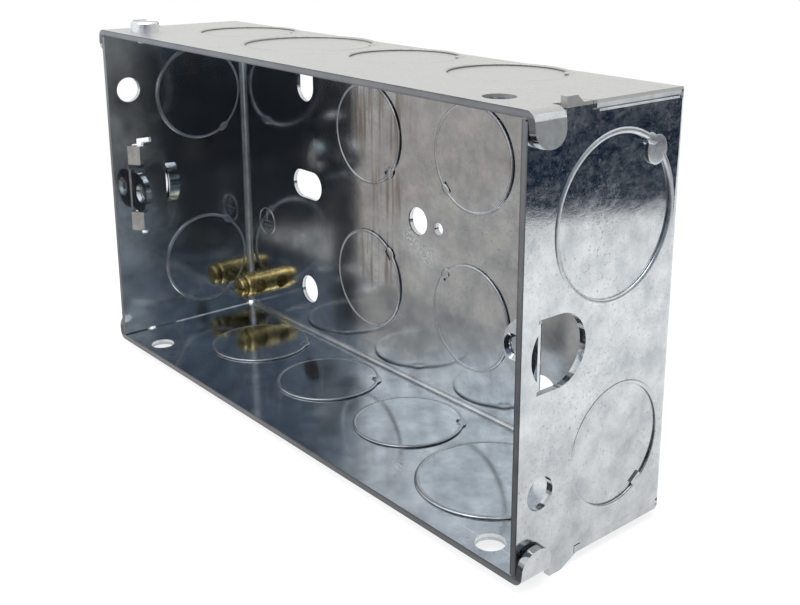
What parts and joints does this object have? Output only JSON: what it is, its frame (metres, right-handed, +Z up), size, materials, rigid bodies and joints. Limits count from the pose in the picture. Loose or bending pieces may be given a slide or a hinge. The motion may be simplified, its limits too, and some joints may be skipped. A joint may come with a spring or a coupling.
{
  "type": "flush back box",
  "caption": "open folded steel wall box with knockouts, slotted fixing holes, tapped faceplate lugs of which one slides, and a brass earth terminal",
  "frame": {"origin": "middle of the outer face of the back panel", "axes": "X along the box, +Y into the wall (the open front faces -Y), +Z up"},
  "size_m": [0.1354, 0.0362, 0.0774],
  "materials": {
    "zinc_steel": "galvanised, mottled, half gloss",
    "brass": "turned, slightly tarnished",
    "plated_steel": "bright zinc plate"
  },
  "bodies": {
    "box": {"box_body": "zinc_steel", "earth_terminal": "brass", "earth_terminal_screw": "brass", "spare_screw": "plated_steel"},
    "lug": {"adjustable_lug": "zinc_steel"}
  },
  "joints": [
    {"name": "lug_slide", "type": "slide", "parent": "box", "child": "lug", "axis": [0, 0, 1], "range_m": [-0.0006, 0.0015]}
  ]
}
